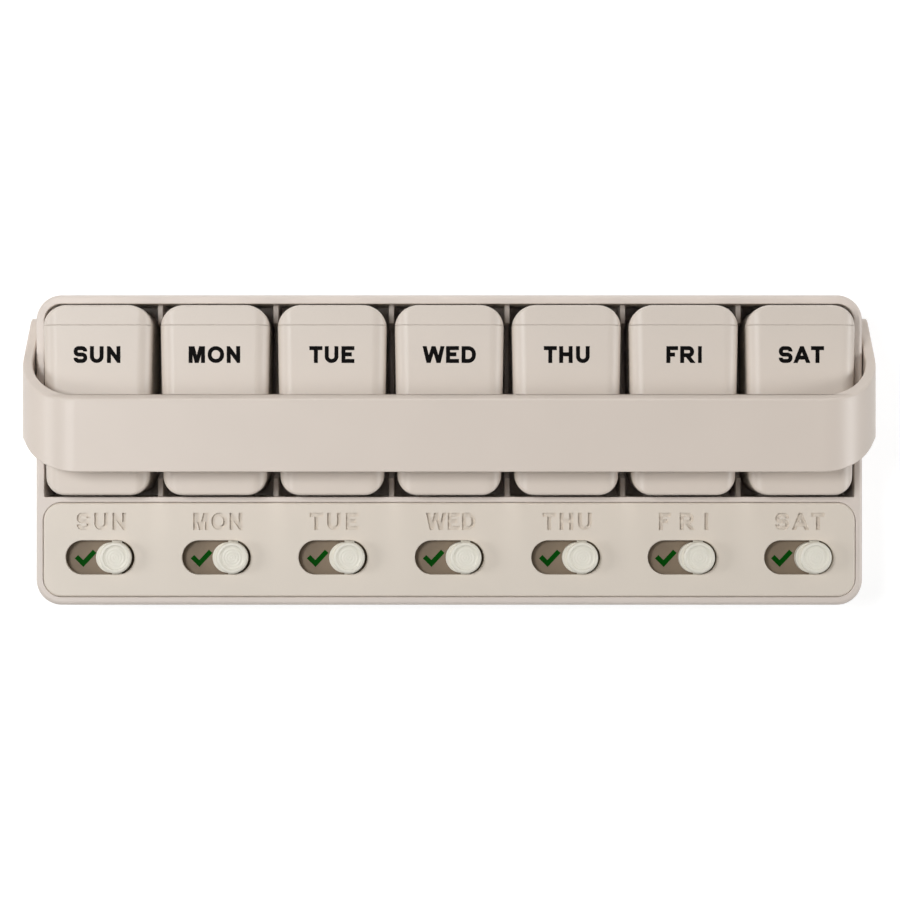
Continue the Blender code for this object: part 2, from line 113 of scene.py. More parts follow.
# A check mark's corners, in millimetres from the middle of its slot
CHECK_MARK = ((-6.60, 0.10), (-4.75, -1.72), (-1.72, 1.55))

# Bold capitals: width and side room in capital heights, then two layers of strokes. A stroke's
# points are shares of the way between the outer strokes' middle lines, and a third value is
# the radius of a bend as a share of the way across. Ends that run past the letter are trimmed.
STEM = ((0, -0.3), (0, 1.3))
LETTERS = {
    "A": (1.00, 0.00, [((-0.04, -0.26), (0.5, 1.1), (1.04, -0.26))],
          [((0.17, 0.26), (0.83, 0.26))]),
    "D": (0.85, 0.07, [STEM], [((0, 1), (1, 1, 0.55), (1, 0, 0.55), (0, 0))]),
    "E": (0.77, 0.08, [STEM],
          [((0, 1), (1.25, 1)), ((0, 0.52), (0.93, 0.52)), ((0, 0), (1.25, 0))]),
    "F": (0.70, 0.07, [STEM], [((0, 1), (1.25, 1)), ((0, 0.5), (0.85, 0.5))]),
    "H": (0.80, 0.10, [STEM, ((1, -0.3), (1, 1.3))], [((0, 0.52), (1, 0.52))]),
    "I": (0.22, 0.10, [STEM], []),
    "M": (0.97, 0.10, [STEM, ((1, -0.3), (1, 1.3))], [((0.11, 1.26), (0.5, -0.14), (0.89, 1.26))]),
    "N": (0.80, 0.10, [((0, -0.3), (0, 1), (1, 0), (1, 1.3))], []),
    "O": (0.97, 0.06, [((0, 0.6), (0, 0, 0.49), (1, 0, 0.49), (1, 0.6))],
          [((0, 0.4), (0, 1, 0.49), (1, 1, 0.49), (1, 0.4))]),
    "R": (0.91, 0.05, [STEM, ((0.42, 0.45), (1.05, -0.25))],
          [((0, 1), (0.87, 1, 0.29), (0.87, 0.45, 0.29), (0, 0.45))]),
    "S": (0.81, 0.06, [((1, 0.74), (1, 1, 0.32), (0, 1, 0.32), (0, 0.5, 0.32), (1, 0.5, 0.32),
                        (1, 0, 0.32), (0, 0, 0.32), (0, 0.26))], []),
    "T": (0.79, 0.03, [((0.5, -0.3), (0.5, 1))], [((-0.2, 1), (1.2, 1))]),
    "U": (0.81, 0.10, [((0, 1.3), (0, 0, 0.49), (1, 0, 0.49), (1, 1.3))], []),
    "W": (1.30, 0.01, [((-0.02, 1.26), (0.22, -0.14), (0.5, 1.14), (0.78, -0.14),
                        (1.02, 1.26))], []),
}


def linear(colour):
    """Linear channel values of an sRGB colour written as six hex digits."""
    channels = [int(colour[start:start + 2], 16) / 255 for start in (0, 2, 4)]
    return [value / 12.92 if value <= 0.04045 else ((value + 0.055) / 1.055) ** 2.4
            for value in channels]


def length(name, description, default):
    """A length setting in metres."""
    return FloatProperty(name=name, description=description, default=default, min=0,
                         unit="LENGTH", subtype="DISTANCE", precision=5)


def lamp_power(name, description, default):
    """A lamp's power setting in watts."""
    return FloatProperty(name=name, description=description, default=default, min=0,
                         unit="POWER")


def factor(name, description, default):
    """A plain number setting."""
    return FloatProperty(name=name, description=description, default=default, min=0)


def tint(name, description, colour):
    """A colour setting, given as sRGB hex digits."""
    return FloatVectorProperty(name=name, description=description, default=linear(colour),
                               min=0, max=1, size=3, subtype="COLOR")


class TraySettings(bpy.types.PropertyGroup):
    """Sizes and colour of the tray"""
    corner: length("Corner", "Radius of the tray's upright corners", 0.0067)
    rim_edge: length("Rim Edge", "Round along the outer edges of rim and base", 0.0010)
    inner_edge: length("Inner Edge", "Round along the edges inside the rim", 0.00022)
    side_wall: length("Side Wall", "Thickness of the walls at both ends", 0.0022)
    back_wall: length("Back Wall", "Thickness of the wall behind the pods", 0.00235)
    front_wall: length("Front Wall", "Thickness of the wall before the tracker", 0.0021)
    panel_wall: length("Panel Side Wall", "Thickness of the walls beside the tracker", 0.0018)
    floor: length("Floor", "Thickness of the floor", 0.0018)
    crossbar: length("Crossbar", "Thickness of the wall between pods and tracker", 0.0014)
    divider: length("Divider", "Thickness of the walls between the pods", 0.0014)
    divider_drop: length("Divider Drop", "How far the dividers' ends stay under the rim", 0.0063)
    divider_dip: length("Divider Dip", "Depth of the dip between a divider's ends", 0.0100)
    divider_end: length("Divider End", "Length of a divider's end before the dip", 0.0036)
    dip_curve: length("Dip Curve", "Radius at the foot of the dip", 0.0060)
    ledge: length("Ledge", "Width of the ledge under the tracker bed", 0.0020)
    rib: length("Rib", "Thickness of the ribs under the tracker bed", 0.0014)
    pivot_hole: length("Pivot Hole", "Radius of the handle's bearing holes", 0.0028)
    colour: tint("Plastic", "Colour of the tray's plastic", "DBD0C7")


class TrackerSettings(bpy.types.PropertyGroup):
    """Sizes and colours of the tracker panel, its bed and its marks"""
    corner: length("Corner", "Radius of the panel's corners", 0.0048)
    edge: length("Edge", "Round along the panel's upper edge", 0.0006)
    thickness: length("Thickness", "Thickness of the panel's plate", 0.0013)
    skirt: length("Skirt", "Thickness of the skirt and ribs under the plate", 0.0012)
    slot_length: length("Slot Length", "Length of each button's slot", 0.0183)
    slot_width: length("Slot Width", "Width of each button's slot", 0.00905)
    slot_from_front: length("Slot Place", "Middle of the slots from the panel's front", 0.01025)
    slot_edge: length("Slot Edge", "Round along the slots' upper edges", 0.0002)
    panel_fit: length("Panel Fit", "How far the panel fills the gap round it", 0.00022)
    name_height: length("Name Height", "Height of the sunk day names' capitals", 0.0045)
    name_from_slot: length("Name Place", "Middle of the names from the slots' middle", 0.0096)
    name_right: length("Name Side", "Names to the right of the slots' middle", 0.0004)
    name_depth: length("Name Depth", "How deep the day names are sunk", 0.0008)
    name_weight: length("Name Weight", "Width of the names' strokes", 0.00102)
    name_width: length("Name Width", "Width that every day name fills", 0.0131)
    stroke: length("Stroke", "Width of a check mark's stroke", 0.00130)
    ink: length("Ink", "Thickness of printed ink", 0.00002)
    panel_colour: tint("Panel Plastic", "Colour of the panel's plastic", "DFD5C8")
    bed_colour: tint("Bed Plastic", "Colour of the bed's plastic", "85745F")
    check_colour: tint("Check Ink", "Colour of the check marks", "004C04")


class ButtonSettings(bpy.types.PropertyGroup):
    """Sizes and colour of the sliding buttons"""
    neck_clearance: length("Neck Clearance", "Room beside the neck in its slot", 0.000475)
    tail: length("Tail", "How far the neck reaches past the cap", 0.00125)
    cap_overhang: length("Cap Overhang", "How far the cap stands over its neck", 0.00015)
    cap_rise: length("Cap Rise", "Height of the cap over the panel", 0.0028)
    step_rise: length("Step Rise", "Height of the neck over the panel", 0.0012)
    cap_edge: length("Cap Edge", "Round along the cap's rim", 0.00055)
    flange: length("Flange", "Thickness of the flange under the panel", 0.0008)
    flange_length: length("Flange Length", "Length of the flange along the slot", 0.0026)
    ring_width: length("Ring Width", "Distance between the turned rings of the dish", 0.00075)
    ring_depth: length("Ring Depth", "Depth of the turned rings", 0.00006)
    dish_margin: length("Dish Margin", "Width of the rim round the dish", 0.0009)
    dish_depth: length("Dish Depth", "Depth of the dish under the rim", 0.00035)
    colour: tint("Plastic", "Colour of the buttons' plastic", "E8E4D7")


class PodSettings(bpy.types.PropertyGroup):
    """Sizes and colours of the day pods"""
    front_corner: length("Front Corner", "Radius of the front corners", 0.0053)
    back_corner: length("Back Corner", "Radius of the back corners", 0.0063)
    taper: factor("Taper", "How much each side widens for every step to the back", 0.018)
    shoulder_width: length("Shoulder Width", "Width of the drooping shoulders", 0.0038)
    shoulder_drop: length("Shoulder Drop", "Height of the drooping shoulders", 0.0030)
    end_edge: length("End Edge", "Round along the edge of the front and back ends", 0.0006)
    skin: length("Skin", "Thickness of the cover's top", 0.0014)
    lip_depth: length("Lip Depth", "How far the cover's lip reaches into the cup", 0.0015)
    lip: length("Lip", "Thickness of the lip", 0.0009)
    seam: length("Seam", "Width of the parting line round the door", 0.00004)
    seam_edge: length("Seam Edge", "Round along the parting line", 0.00013)
    door_wall: length("Door Wall", "Thickness of the door's end walls", 0.0013)
    notch_radius: length("Notch Radius", "Radius of the notch for a finger nail", 0.0050)
    notch_depth: length("Notch Depth", "Depth of the notch for a finger nail", 0.0007)
    cup_inset: length("Cup Inset", "How far the cup stays inside its cover", 0.0003)
    cup_wall: length("Cup Wall", "Thickness of the cup's walls", 0.0011)
    cup_floor: length("Cup Floor", "Thickness of the cup's floor", 0.0012)
    cup_foot: length("Cup Foot", "Round along the cup's foot", 0.0010)
    cup_scoop: length("Cup Scoop", "Round between the cup's walls and floor inside", 0.0030)
    label_height: length("Label Height", "Height of the printed day names' capitals", 0.00445)
    label_y: length("Label Place", "Middle of the printed day names along Y", 0.0252)
    label_weight: length("Label Weight", "Width of the labels' strokes", 0.00106)
    ink: length("Ink", "Thickness of the printed ink", 0.00002)
    cover_colour: tint("Cover Plastic", "Colour of covers and doors", "D8CDC2")
    cup_colour: tint("Cup Plastic", "Colour of the cups", "DAD2C8")
    ink_colour: tint("Label Ink", "Colour of the printed day names", "060505")


class HandleSettings(bpy.types.PropertyGroup):
    """Sizes and colour of the carry handle"""
    thickness: length("Thickness", "Thickness of the strap", 0.0027)
    bend: length("Bend", "Outer radius of the strap's two bends", 0.0160)
    edge: length("Edge", "Round along the strap's edges", 0.0005)
    band_width: length("Band Width", "Width of the band over the pods", 0.0192)
    band_setback: length("Band Setback", "Back edge of the band from the pivots", 0.0163)
    band_slant: length("Band Slant", "Slant of the band's back edge", 0.0012)
    shoulder_reach: length("Shoulder Reach", "Front shoulder from the pivots along Y", 0.0270)
    shoulder_height: length("Shoulder Height", "Front shoulder over the pivots", 0.0223)
    shoulder_curve: length("Shoulder Curve", "Radius of the front shoulder", 0.0080)
    elbow_reach: length("Elbow Reach", "Front elbow from the pivots along Y", 0.0257)
    elbow_height: length("Elbow Height", "Front elbow over the pivots", 0.0147)
    elbow_curve: length("Elbow Curve", "Radius of the front elbow", 0.0100)
    boss_radius: length("Boss Radius", "Radius of the round ends at the pivots", 0.0060)
    trunnion_radius: length("Trunnion Radius", "Radius of the pivots", 0.0025)
    trunnion_recess: length("Trunnion Recess", "Pivots' ends from the wall's inside", 0.0002)
    bend_steps: IntProperty(name="Bend Steps", description="Facets along each bend",
                            default=20, min=4, max=64)
    colour: tint("Plastic", "Colour of the handle's plastic", "D8CCC1")


class StageSettings(bpy.types.PropertyGroup):
    """Camera and light of the stage"""
    camera_height: length("Camera Height", "Camera over the floor", 0.824)
    camera_x: length("Camera Side", "Camera to the right of the middle", 0.0002)
    lens: FloatProperty(name="Lens", description="Focal length in millimetres", default=120.2,
                        min=10, subtype="DISTANCE_CAMERA")
    sky: factor("Sky", "Strength of the even light", 0.11)
    key: lamp_power("Key", "Power of the high lamp at the left", 7.6)
    left: lamp_power("Left", "Power of the low lamp at the left", 4.3)
    right: lamp_power("Right", "Power of the low lamp at the right", 6.0)
    back: lamp_power("Back", "Power of the low lamp at the back", 3.6)
    lamp_distance: length("Lamp Distance", "Lamps from the middle of the tray", 1.3)
    key_size: length("Key Size", "Side of the square high lamp", 0.36)
    side_size: length("Side Size", "Side of the square low lamps", 0.4)
    floor_size: length("Floor Size", "Side of the floor", 8.0)


class OrganizerSettings(bpy.types.PropertyGroup):
    """All settings of the pill organizer"""
    tray: PointerProperty(type=TraySettings, name="Tray", description="The tray")
    tracker: PointerProperty(type=TrackerSettings, name="Tracker", description="The tracker")
    button: PointerProperty(type=ButtonSettings, name="Buttons", description="The buttons")
    pod: PointerProperty(type=PodSettings, name="Pods", description="The day pods")
    handle: PointerProperty(type=HandleSettings, name="Handle", description="The handle")
    stage: PointerProperty(type=StageSettings, name="Stage", description="Camera and light")


def day_centre(day):
    """Middle of a day's pod along X."""
    low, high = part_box("pod_cover_" + day)
    return (low.x + high.x) / 2


def day_pitch():
    """Distance from one day's pod to the next."""
    return day_centre(DAYS[1]) - day_centre(DAYS[0])


def arc(centre, radius, start, sweep):
    """Points along an arc from the start angle."""
    steps = max(1, round(abs(sweep) / ARC_STEP))
    angles = [start + sweep * step / steps for step in range(steps + 1)]
    return [centre + radius * Vector((math.cos(angle), math.sin(angle))) for angle in angles]


def rounded(corners):
    """Points of a closed outline through (a, b, radius) corners, each rounded by its radius."""
    points = []
    for index, (a, b, radius) in enumerate(corners):
        corner = Vector((a, b))
        if radius == 0:
            points.append(corner)
            continue
        before = (Vector(corners[index - 1][:2]) - corner).normalized()
        after = (Vector(corners[(index + 1) % len(corners)][:2]) - corner).normalized()
        half = before.angle(after) / 2
        centre = corner + (before + after).normalized() * radius / math.sin(half)
        reach = radius / math.tan(half)
        first = corner + before * reach - centre
        last = corner + after * reach - centre
        start = math.atan2(first.y, first.x)
        sweep = (math.atan2(last.y, last.x) - start + math.pi) % math.tau - math.pi
        points += arc(centre, radius, start, sweep)
    return [point for index, point in enumerate(points)
            if (point - points[index - 1]).length > SAME_POINT]


def rectangle(half, front, back, front_radius=0, back_radius=0, middle=0):
    """A plan outline, the same on both sides of its middle."""
    return rounded([
        (middle - half, front, front_radius),
        (middle + half, front, front_radius),
        (middle + half, back, back_radius),
        (middle - half, back, back_radius),
    ])


def placed(name, data):
    """A new object in the scene."""
    made = bpy.data.objects.new(name, data)
    bpy.context.scene.collection.objects.link(made)
    return made


def solid(name, bm):
    """An object of its own from a finished bmesh."""
    bmesh.ops.recalc_face_normals(bm, faces=bm.faces)
    mesh = bpy.data.meshes.new(name)
    bm.to_mesh(mesh)
    bm.free()
    return placed(name, mesh)


def prism(name, outlines, low, high, axis="Z", low_edge=0, high_edge=0):
    """Outlines that stand apart, extruded along X or Z with rounded ends, as one object."""
    turn = Matrix(((0, 0, 1), (1, 0, 0), (0, 1, 0))) if axis == "X" else Matrix.Identity(3)
    bm = bmesh.new()
    for outline in outlines:
        base = bm.faces.new([bm.verts.new(turn @ Vector((a, b, low))) for a, b in outline])
        raised = bmesh.ops.extrude_face_region(bm, geom=[base], use_keep_orig=True)["geom"]
        top_verts = [item for item in raised if isinstance(item, bmesh.types.BMVert)]
        top_face = next(item for item in raised if isinstance(item, bmesh.types.BMFace))
        bmesh.ops.translate(bm, verts=top_verts, vec=turn @ Vector((0, 0, high - low)))
        for face, width in ((base, low_edge), (top_face, high_edge)):
            if width:
                bmesh.ops.bevel(bm, geom=list(face.edges), offset=width, segments=EDGE_PARTS,
                                profile=ROUND_PROFILE, affect="EDGES")
    return solid(name, bm)


def cylinders(name, middles, radius, depth, axis):
    """Closed cylinders along X or Z, as one object."""
    turn = Matrix.Rotation(math.pi / 2, 4, "Y") if axis == "X" else Matrix.Identity(4)
    bm = bmesh.new()
    for middle in middles:
        bmesh.ops.create_cone(bm, cap_ends=True, segments=CYLINDER_PARTS, radius1=radius,
                              radius2=radius, depth=depth,
                              matrix=Matrix.Translation(middle) @ turn)
    return solid(name, bm)


def boolean(target, other, operation):
    """Cut, join or intersect with another solid."""
    change = target.modifiers.new(other.name, "BOOLEAN")
    change.operation = operation
    change.solver = "EXACT"
    change.object = other


def combine(target, operation, outlines, low, high, **ends):
    """Cut, join or intersect with extruded outlines."""
    boolean(target, prism("part", outlines, low, high, **ends), operation)


def soften(target, width, segments=SOFT_PARTS):
    """Round every edge that turns sharply, as a mould's edges are."""
    bevel = target.modifiers.new("soften", "BEVEL")
    bevel.width = width
    bevel.segments = segments
    bevel.limit_method = "ANGLE"
    bevel.angle_limit = BEVEL_ANGLE
    bevel.use_clamp_overlap = False
    bevel.miter_outer = "MITER_ARC"


def baked(maker):
    """The evaluated mesh of a helper object, which is removed with its cutters."""
    helpers = [change.object for change in maker.modifiers if change.type == "BOOLEAN"]
    graph = bpy.context.evaluated_depsgraph_get()
    mesh = bpy.data.meshes.new_from_object(maker.evaluated_get(graph))
    for helper in [maker] + helpers:
        bpy.data.objects.remove(helper)
    return mesh


def cleaned(mesh):
    """Merge doubled vertices, point the faces outwards and shade smooth up to sharp edges."""
    bm = bmesh.new()
    bm.from_mesh(mesh)
    bmesh.ops.remove_doubles(bm, verts=bm.verts, dist=SAME_POINT)
    bmesh.ops.dissolve_degenerate(bm, edges=bm.edges, dist=SAME_POINT)
    bmesh.ops.recalc_face_normals(bm, faces=bm.faces)
    bm.to_mesh(mesh)
    bm.free()
    mesh.shade_smooth()
    mesh.set_sharp_from_angle(angle=SHARP_ANGLE)
    return mesh


def face_weighted(mesh):
    """The mesh with corner normals that follow its larger faces, so that flat faces shade flat."""
    maker = placed("weighting", mesh)
    change = maker.modifiers.new("normals", "WEIGHTED_NORMAL")
    change.keep_sharp = True
    return baked(maker)


def piece(name, mesh, material, body, replaces=None, shift=0):
    """A finished piece at the origin, with its place in its mesh, riding on its body."""
    if shift:
        mesh = mesh.copy()
        mesh.transform(Matrix.Translation((shift, 0, 0)))
    mesh = face_weighted(mesh)
    mesh.materials.clear()
    mesh.materials.append(material)
    mesh.name = name
    made = placed(name, mesh)
    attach(made, body)
    if replaces:
        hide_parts(replaces)


def week_pieces(name, mesh, material, body, slot):
    """The same piece for each day, in place of the day's solid of that slot."""
    for day in DAYS:
        piece(name + day, mesh, material, body + day, f"{slot}_{day}", day_centre(day))


def add_node(tree, kind, inputs=None, **fields):
    """Add a node, set its fields, and give each input a value or a link from another output."""
    made = tree.nodes.new(kind)
    for name, value in fields.items():
        setattr(made, name, value)
    for name, value in (inputs or {}).items():
        if isinstance(value, bpy.types.NodeSocket):
            tree.links.new(value, made.inputs[name])
        else:
            made.inputs[name].default_value = value
    return made


def new_material(name):
    """A new material, its node tree, and in it the place on the object."""
    material = bpy.data.materials.new(name)
    material.use_nodes = True
    tree = material.node_tree
    tree.nodes.clear()
    return material, tree, add_node(tree, "ShaderNodeTexCoord").outputs["Object"]


def shade_of(colour, factor):
    """A colour made darker or lighter by a factor, ready for a colour socket."""
    return (*[min(1, channel * factor) for channel in colour], 1)


def end_material(tree, pattern, colour, shades, skin):
    """Vary a colour between two shades by a pattern, and shade it with the skin's values."""
    tone = add_node(tree, "ShaderNodeMix", {
        0: pattern.outputs["Fac"], 6: shade_of(colour, shades[0]),
        7: shade_of(colour, shades[1])}, data_type="RGBA")
    shader = add_node(tree, "ShaderNodeBsdfPrincipled", {
        "Base Color": tone.outputs[2], **skin})
    add_node(tree, "ShaderNodeOutputMaterial", {"Surface": shader.outputs["BSDF"]})


def moulded_abs(name, colour, roughness=0.42, grain=0.45, bump=0.10):
    """ABS moulded in a spark-eroded tool: a warm satin skin with a fine even grain, and clouds
    of slightly denser colour where the melt flowed. Real grain is under 0.1 mm, too fine to
    show, so it is drawn at the coarser size given here in millimetres."""
    material, tree, place = new_material(name)
    clouds = add_node(tree, "ShaderNodeTexNoise", {
        "Vector": place, "Scale": 1 / MELT_CLOUD, "Detail": 2.0, "Roughness": 0.5})
    flecks = add_node(tree, "ShaderNodeTexNoise", {
        "Vector": place, "Scale": 1 / (grain * MILLIMETRE), "Detail": 3.0, "Roughness": 0.6})
    gloss = add_node(tree, "ShaderNodeMapRange", {
        "Value": flecks.outputs["Fac"], "From Min": GRAIN_SPREAD[0], "From Max": GRAIN_SPREAD[1],
        "To Min": roughness + GLOSS_SPREAD[0], "To Max": roughness + GLOSS_SPREAD[1]})
    relief = add_node(tree, "ShaderNodeBump", {
        "Height": flecks.outputs["Fac"], "Strength": bump, "Distance": GRAIN_RELIEF})
    end_material(tree, clouds, colour, CLOUD_SHADES, {
        "Roughness": gloss.outputs["Result"], "Normal": relief.outputs["Normal"],
        "IOR": ABS_REFRACTION})
    return material


def pad_print_ink(name, colour):
    """Pad-printed ink: a thin matt film, a little uneven where the soft pad lifted off."""
    material, tree, place = new_material(name)
    lift = add_node(tree, "ShaderNodeTexNoise", {
        "Vector": place, "Scale": 1 / PAD_LIFT, "Detail": 4.0, "Roughness": 0.7})
    gloss = add_node(tree, "ShaderNodeMapRange", {
        "Value": lift.outputs["Fac"], "To Min": INK_GLOSS[0], "To Max": INK_GLOSS[1]})
    end_material(tree, lift, colour, INK_SHADES, {
        "Roughness": gloss.outputs["Result"], "IOR": INK_REFRACTION,
        "Specular IOR Level": INK_SHINE})
    return material


def seen_by_eye(tree):
    """One for rays that show the surroundings to the eye, straight or mirrored, else zero."""
    path = add_node(tree, "ShaderNodeLightPath")
    straight = add_node(tree, "ShaderNodeMath", {
        0: path.outputs["Is Camera Ray"], 1: path.outputs["Is Glossy Ray"]}, operation="MAXIMUM")
    return add_node(tree, "ShaderNodeMath", {
        0: straight.outputs[0], 1: path.outputs["Is Transmission Ray"]},
        operation="MAXIMUM").outputs[0]


def photo_paper():
    """White backdrop paper: matt fibres that keep a faint shadow under the tray."""
    material, tree, place = new_material("backdrop_paper")
    fibres = add_node(tree, "ShaderNodeTexNoise", {
        "Vector": place, "Scale": 1 / PAPER_FIBRE, "Detail": 2.0})
    tone = add_node(tree, "ShaderNodeMix", {
        0: fibres.outputs["Fac"], 6: shade_of(WHITE, PAPER_SHADES[0]),
        7: shade_of(WHITE, PAPER_SHADES[1])}, data_type="RGBA")
    paper = add_node(tree, "ShaderNodeBsdfDiffuse", {"Color": tone.outputs[2]})
    faint = add_node(tree, "ShaderNodeBsdfDiffuse", {
        "Color": shade_of(WHITE, SHOWN_PAPER_SHADE)})
    glow = add_node(tree, "ShaderNodeEmission", {"Strength": SHOWN_PAPER_GLOW})
    shown = add_node(tree, "ShaderNodeAddShader", {
        0: faint.outputs[0], 1: glow.outputs[0]})
    choice = add_node(tree, "ShaderNodeMixShader", {
        0: seen_by_eye(tree), 1: paper.outputs[0], 2: shown.outputs[0]})
    add_node(tree, "ShaderNodeOutputMaterial", {"Surface": choice.outputs[0]})
    return material


def new_tree(name, sockets):
    """A Geometry Nodes tree with the given inputs, and its input and output nodes."""
    tree = bpy.data.node_groups.new(name, "GeometryNodeTree")
    tree.interface.new_socket("Geometry", in_out="OUTPUT", socket_type="NodeSocketGeometry")
    for label, kind in sockets:
        tree.interface.new_socket(label, in_out="INPUT", socket_type=kind)
    given = add_node(tree, "NodeGroupInput")
    result = add_node(tree, "NodeGroupOutput")
    return tree, given.outputs, result


def end_tree(tree, shape, given, result):
    """Realize what a tree has made, give it its material and pass it on."""
    real = add_node(tree, "GeometryNodeRealizeInstances", {"Geometry": shape.outputs[0]})
    finish = add_node(tree, "GeometryNodeSetMaterial", {
        "Geometry": real.outputs[0], "Material": given["Finish"]})
    tree.links.new(finish.outputs[0], result.inputs[0])
    return tree


def use_tree(target, tree, values):
    """Put a Geometry Nodes tree on an object, with its inputs set by identifier."""
    change = target.modifiers.new(tree.name, "NODES")
    change.node_group = tree
    for item in tree.interface.items_tree:
        if item.in_out == "INPUT" and item.name in values:
            change[item.identifier] = values[item.name]


def week_tree():
    """Repeats a shape along X, once for each day of the week."""
    tree, given, result = new_tree("repeat_along_week", [
        ("Shape", "NodeSocketGeometry"), ("Pitch", "NodeSocketFloat"),
        ("Count", "NodeSocketInt"), ("Finish", "NodeSocketMaterial")])
    steps = add_node(tree, "ShaderNodeMath", {0: given["Count"], 1: 1.0}, operation="SUBTRACT")
    back = add_node(tree, "ShaderNodeMath", {0: steps.outputs[0], 1: -0.5}, operation="MULTIPLY")
    first = add_node(tree, "ShaderNodeMath", {0: back.outputs[0], 1: given["Pitch"]},
                     operation="MULTIPLY")
    start = add_node(tree, "ShaderNodeCombineXYZ", {"X": first.outputs[0]})
    stride = add_node(tree, "ShaderNodeCombineXYZ", {"X": given["Pitch"]})
    line = add_node(tree, "GeometryNodeMeshLine", {
        "Count": given["Count"], "Start Location": start.outputs[0],
        "Offset": stride.outputs[0]})
    copies = add_node(tree, "GeometryNodeInstanceOnPoints", {
        "Points": line.outputs[0], "Instance": given["Shape"]})
    return end_tree(tree, copies, given, result)


def repeated(shape, count, material=None):
    """A shape repeated at the day pitch, as one object without live modifiers."""
    tree = bpy.data.node_groups.get("repeat_along_week") or week_tree()
    values = {"Pitch": day_pitch(), "Count": count}
    if material:
        values["Finish"] = material
    use_tree(shape, tree, values)
    return placed(shape.name, baked(shape))


def strap_tree():
    """A flat strap swept round a rounded frame that stands on its lower side."""
    tree, given, result = new_tree("bent_strap", [
        ("Span", "NodeSocketFloat"), ("Rise", "NodeSocketFloat"),
        ("Thickness", "NodeSocketFloat"), ("Width", "NodeSocketFloat"),
        ("Bend", "NodeSocketFloat"), ("Bend Steps", "NodeSocketInt"),
        ("Finish", "NodeSocketMaterial")])
    route = add_node(tree, "GeometryNodeCurvePrimitiveQuadrilateral", {
        "Width": given["Span"], "Height": given["Rise"]})
    bent = add_node(tree, "GeometryNodeFilletCurve", {
        "Curve": route.outputs[0], "Radius": given["Bend"], "Count": given["Bend Steps"]},
        mode="POLY")
    section = add_node(tree, "GeometryNodeCurvePrimitiveQuadrilateral", {
        "Width": given["Thickness"], "Height": given["Width"]})
    swept = add_node(tree, "GeometryNodeCurveToMesh", {
        "Curve": bent.outputs[0], "Profile Curve": section.outputs[0]})
    upright = add_node(tree, "GeometryNodeTransform", {
        "Geometry": swept.outputs[0], "Rotation": (math.pi / 2, 0, 0)})
    return end_tree(tree, upright, given, result)


class TraySizes:
    """Where the tray's walls stand, from the tray's box and its settings."""

    def __init__(self, tray):
        low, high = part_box("tray")
        self.half = high.x
        self.front = low.y
        self.back = high.y
        self.top = high.z
        self.bay_half = self.half - tray.side_wall
        self.bay_back = self.back - tray.back_wall
        self.bay_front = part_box("pod_cover_sun")[0].y - 2 * SEAT_GAP
        self.recess_back = self.bay_front - tray.crossbar
        self.recess_front = self.front + tray.front_wall
        self.recess_half = self.half - tray.panel_wall
        self.ledge_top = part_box("tracker_bed")[0].z - SEAT_GAP


class PodSizes:
    """Where a pod's pieces stand round the middle of its day, from the pods' boxes."""

    def __init__(self, pod):
        low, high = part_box("pod_cover_sun")
        self.front = low.y
        self.back = high.y
        self.middle = (low.y + high.y) / 2
        self.crown = high.z
        self.half = (high.x - low.x) / 2
        self.skin_underside = self.crown - pod.skin
        cup_low, cup_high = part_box("pod_cup_sun")
        self.cup_base = cup_low.z
        self.cup_top = cup_high.z
        self.base = self.cup_top + SEAT_GAP
        door_low, door_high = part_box("pod_door_sun")
        self.door_front = door_low.y
        self.door_back = door_high.y
        self.door_base = door_low.z

    def plan(self, pod, inset):
        """Plan outline of a pod before it is tapered, drawn in from its edge."""
        return rectangle(self.half - inset, self.front + inset, self.back - inset,
                         pod.front_corner - inset, pod.back_corner - inset)

    def depth(self, pod, x, y):
        """How far a plan point lies inside the pod's outline."""
        behind = y > self.middle
        radius = pod.back_corner if behind else pod.front_corner
        along = self.back - y if behind else y - self.front
        across = self.half - abs(x)
        if across < radius and along < radius:
            return radius - math.hypot(radius - across, radius - along)
        return min(across, along)

    def height(self, pod, x, y):
        """Height of a pod's top over a plan point: shoulders at the sides, an edge at the ends."""
        out = max(0, abs(x) - self.half + pod.shoulder_width) / pod.shoulder_width
        droop = 1 - math.sqrt(max(0, 1 - out ** 2))
        near = max(0, pod.end_edge - self.depth(pod, x, y)) / pod.end_edge
        turn = 1 - math.sqrt(max(0, 1 - near ** 2))
        return self.crown - pod.shoulder_drop * droop - pod.end_edge * turn * (1 - droop)

    def shaped(self, pod, maker):
        """The mesh of a straight pod's piece, with its edges softened, made wider to the back."""
        soften(maker, pod.seam_edge)
        mesh = baked(maker)
        for vert in mesh.vertices:
            vert.co.x *= 1 + pod.taper * (vert.co.y - self.middle) / self.half
        return cleaned(mesh)


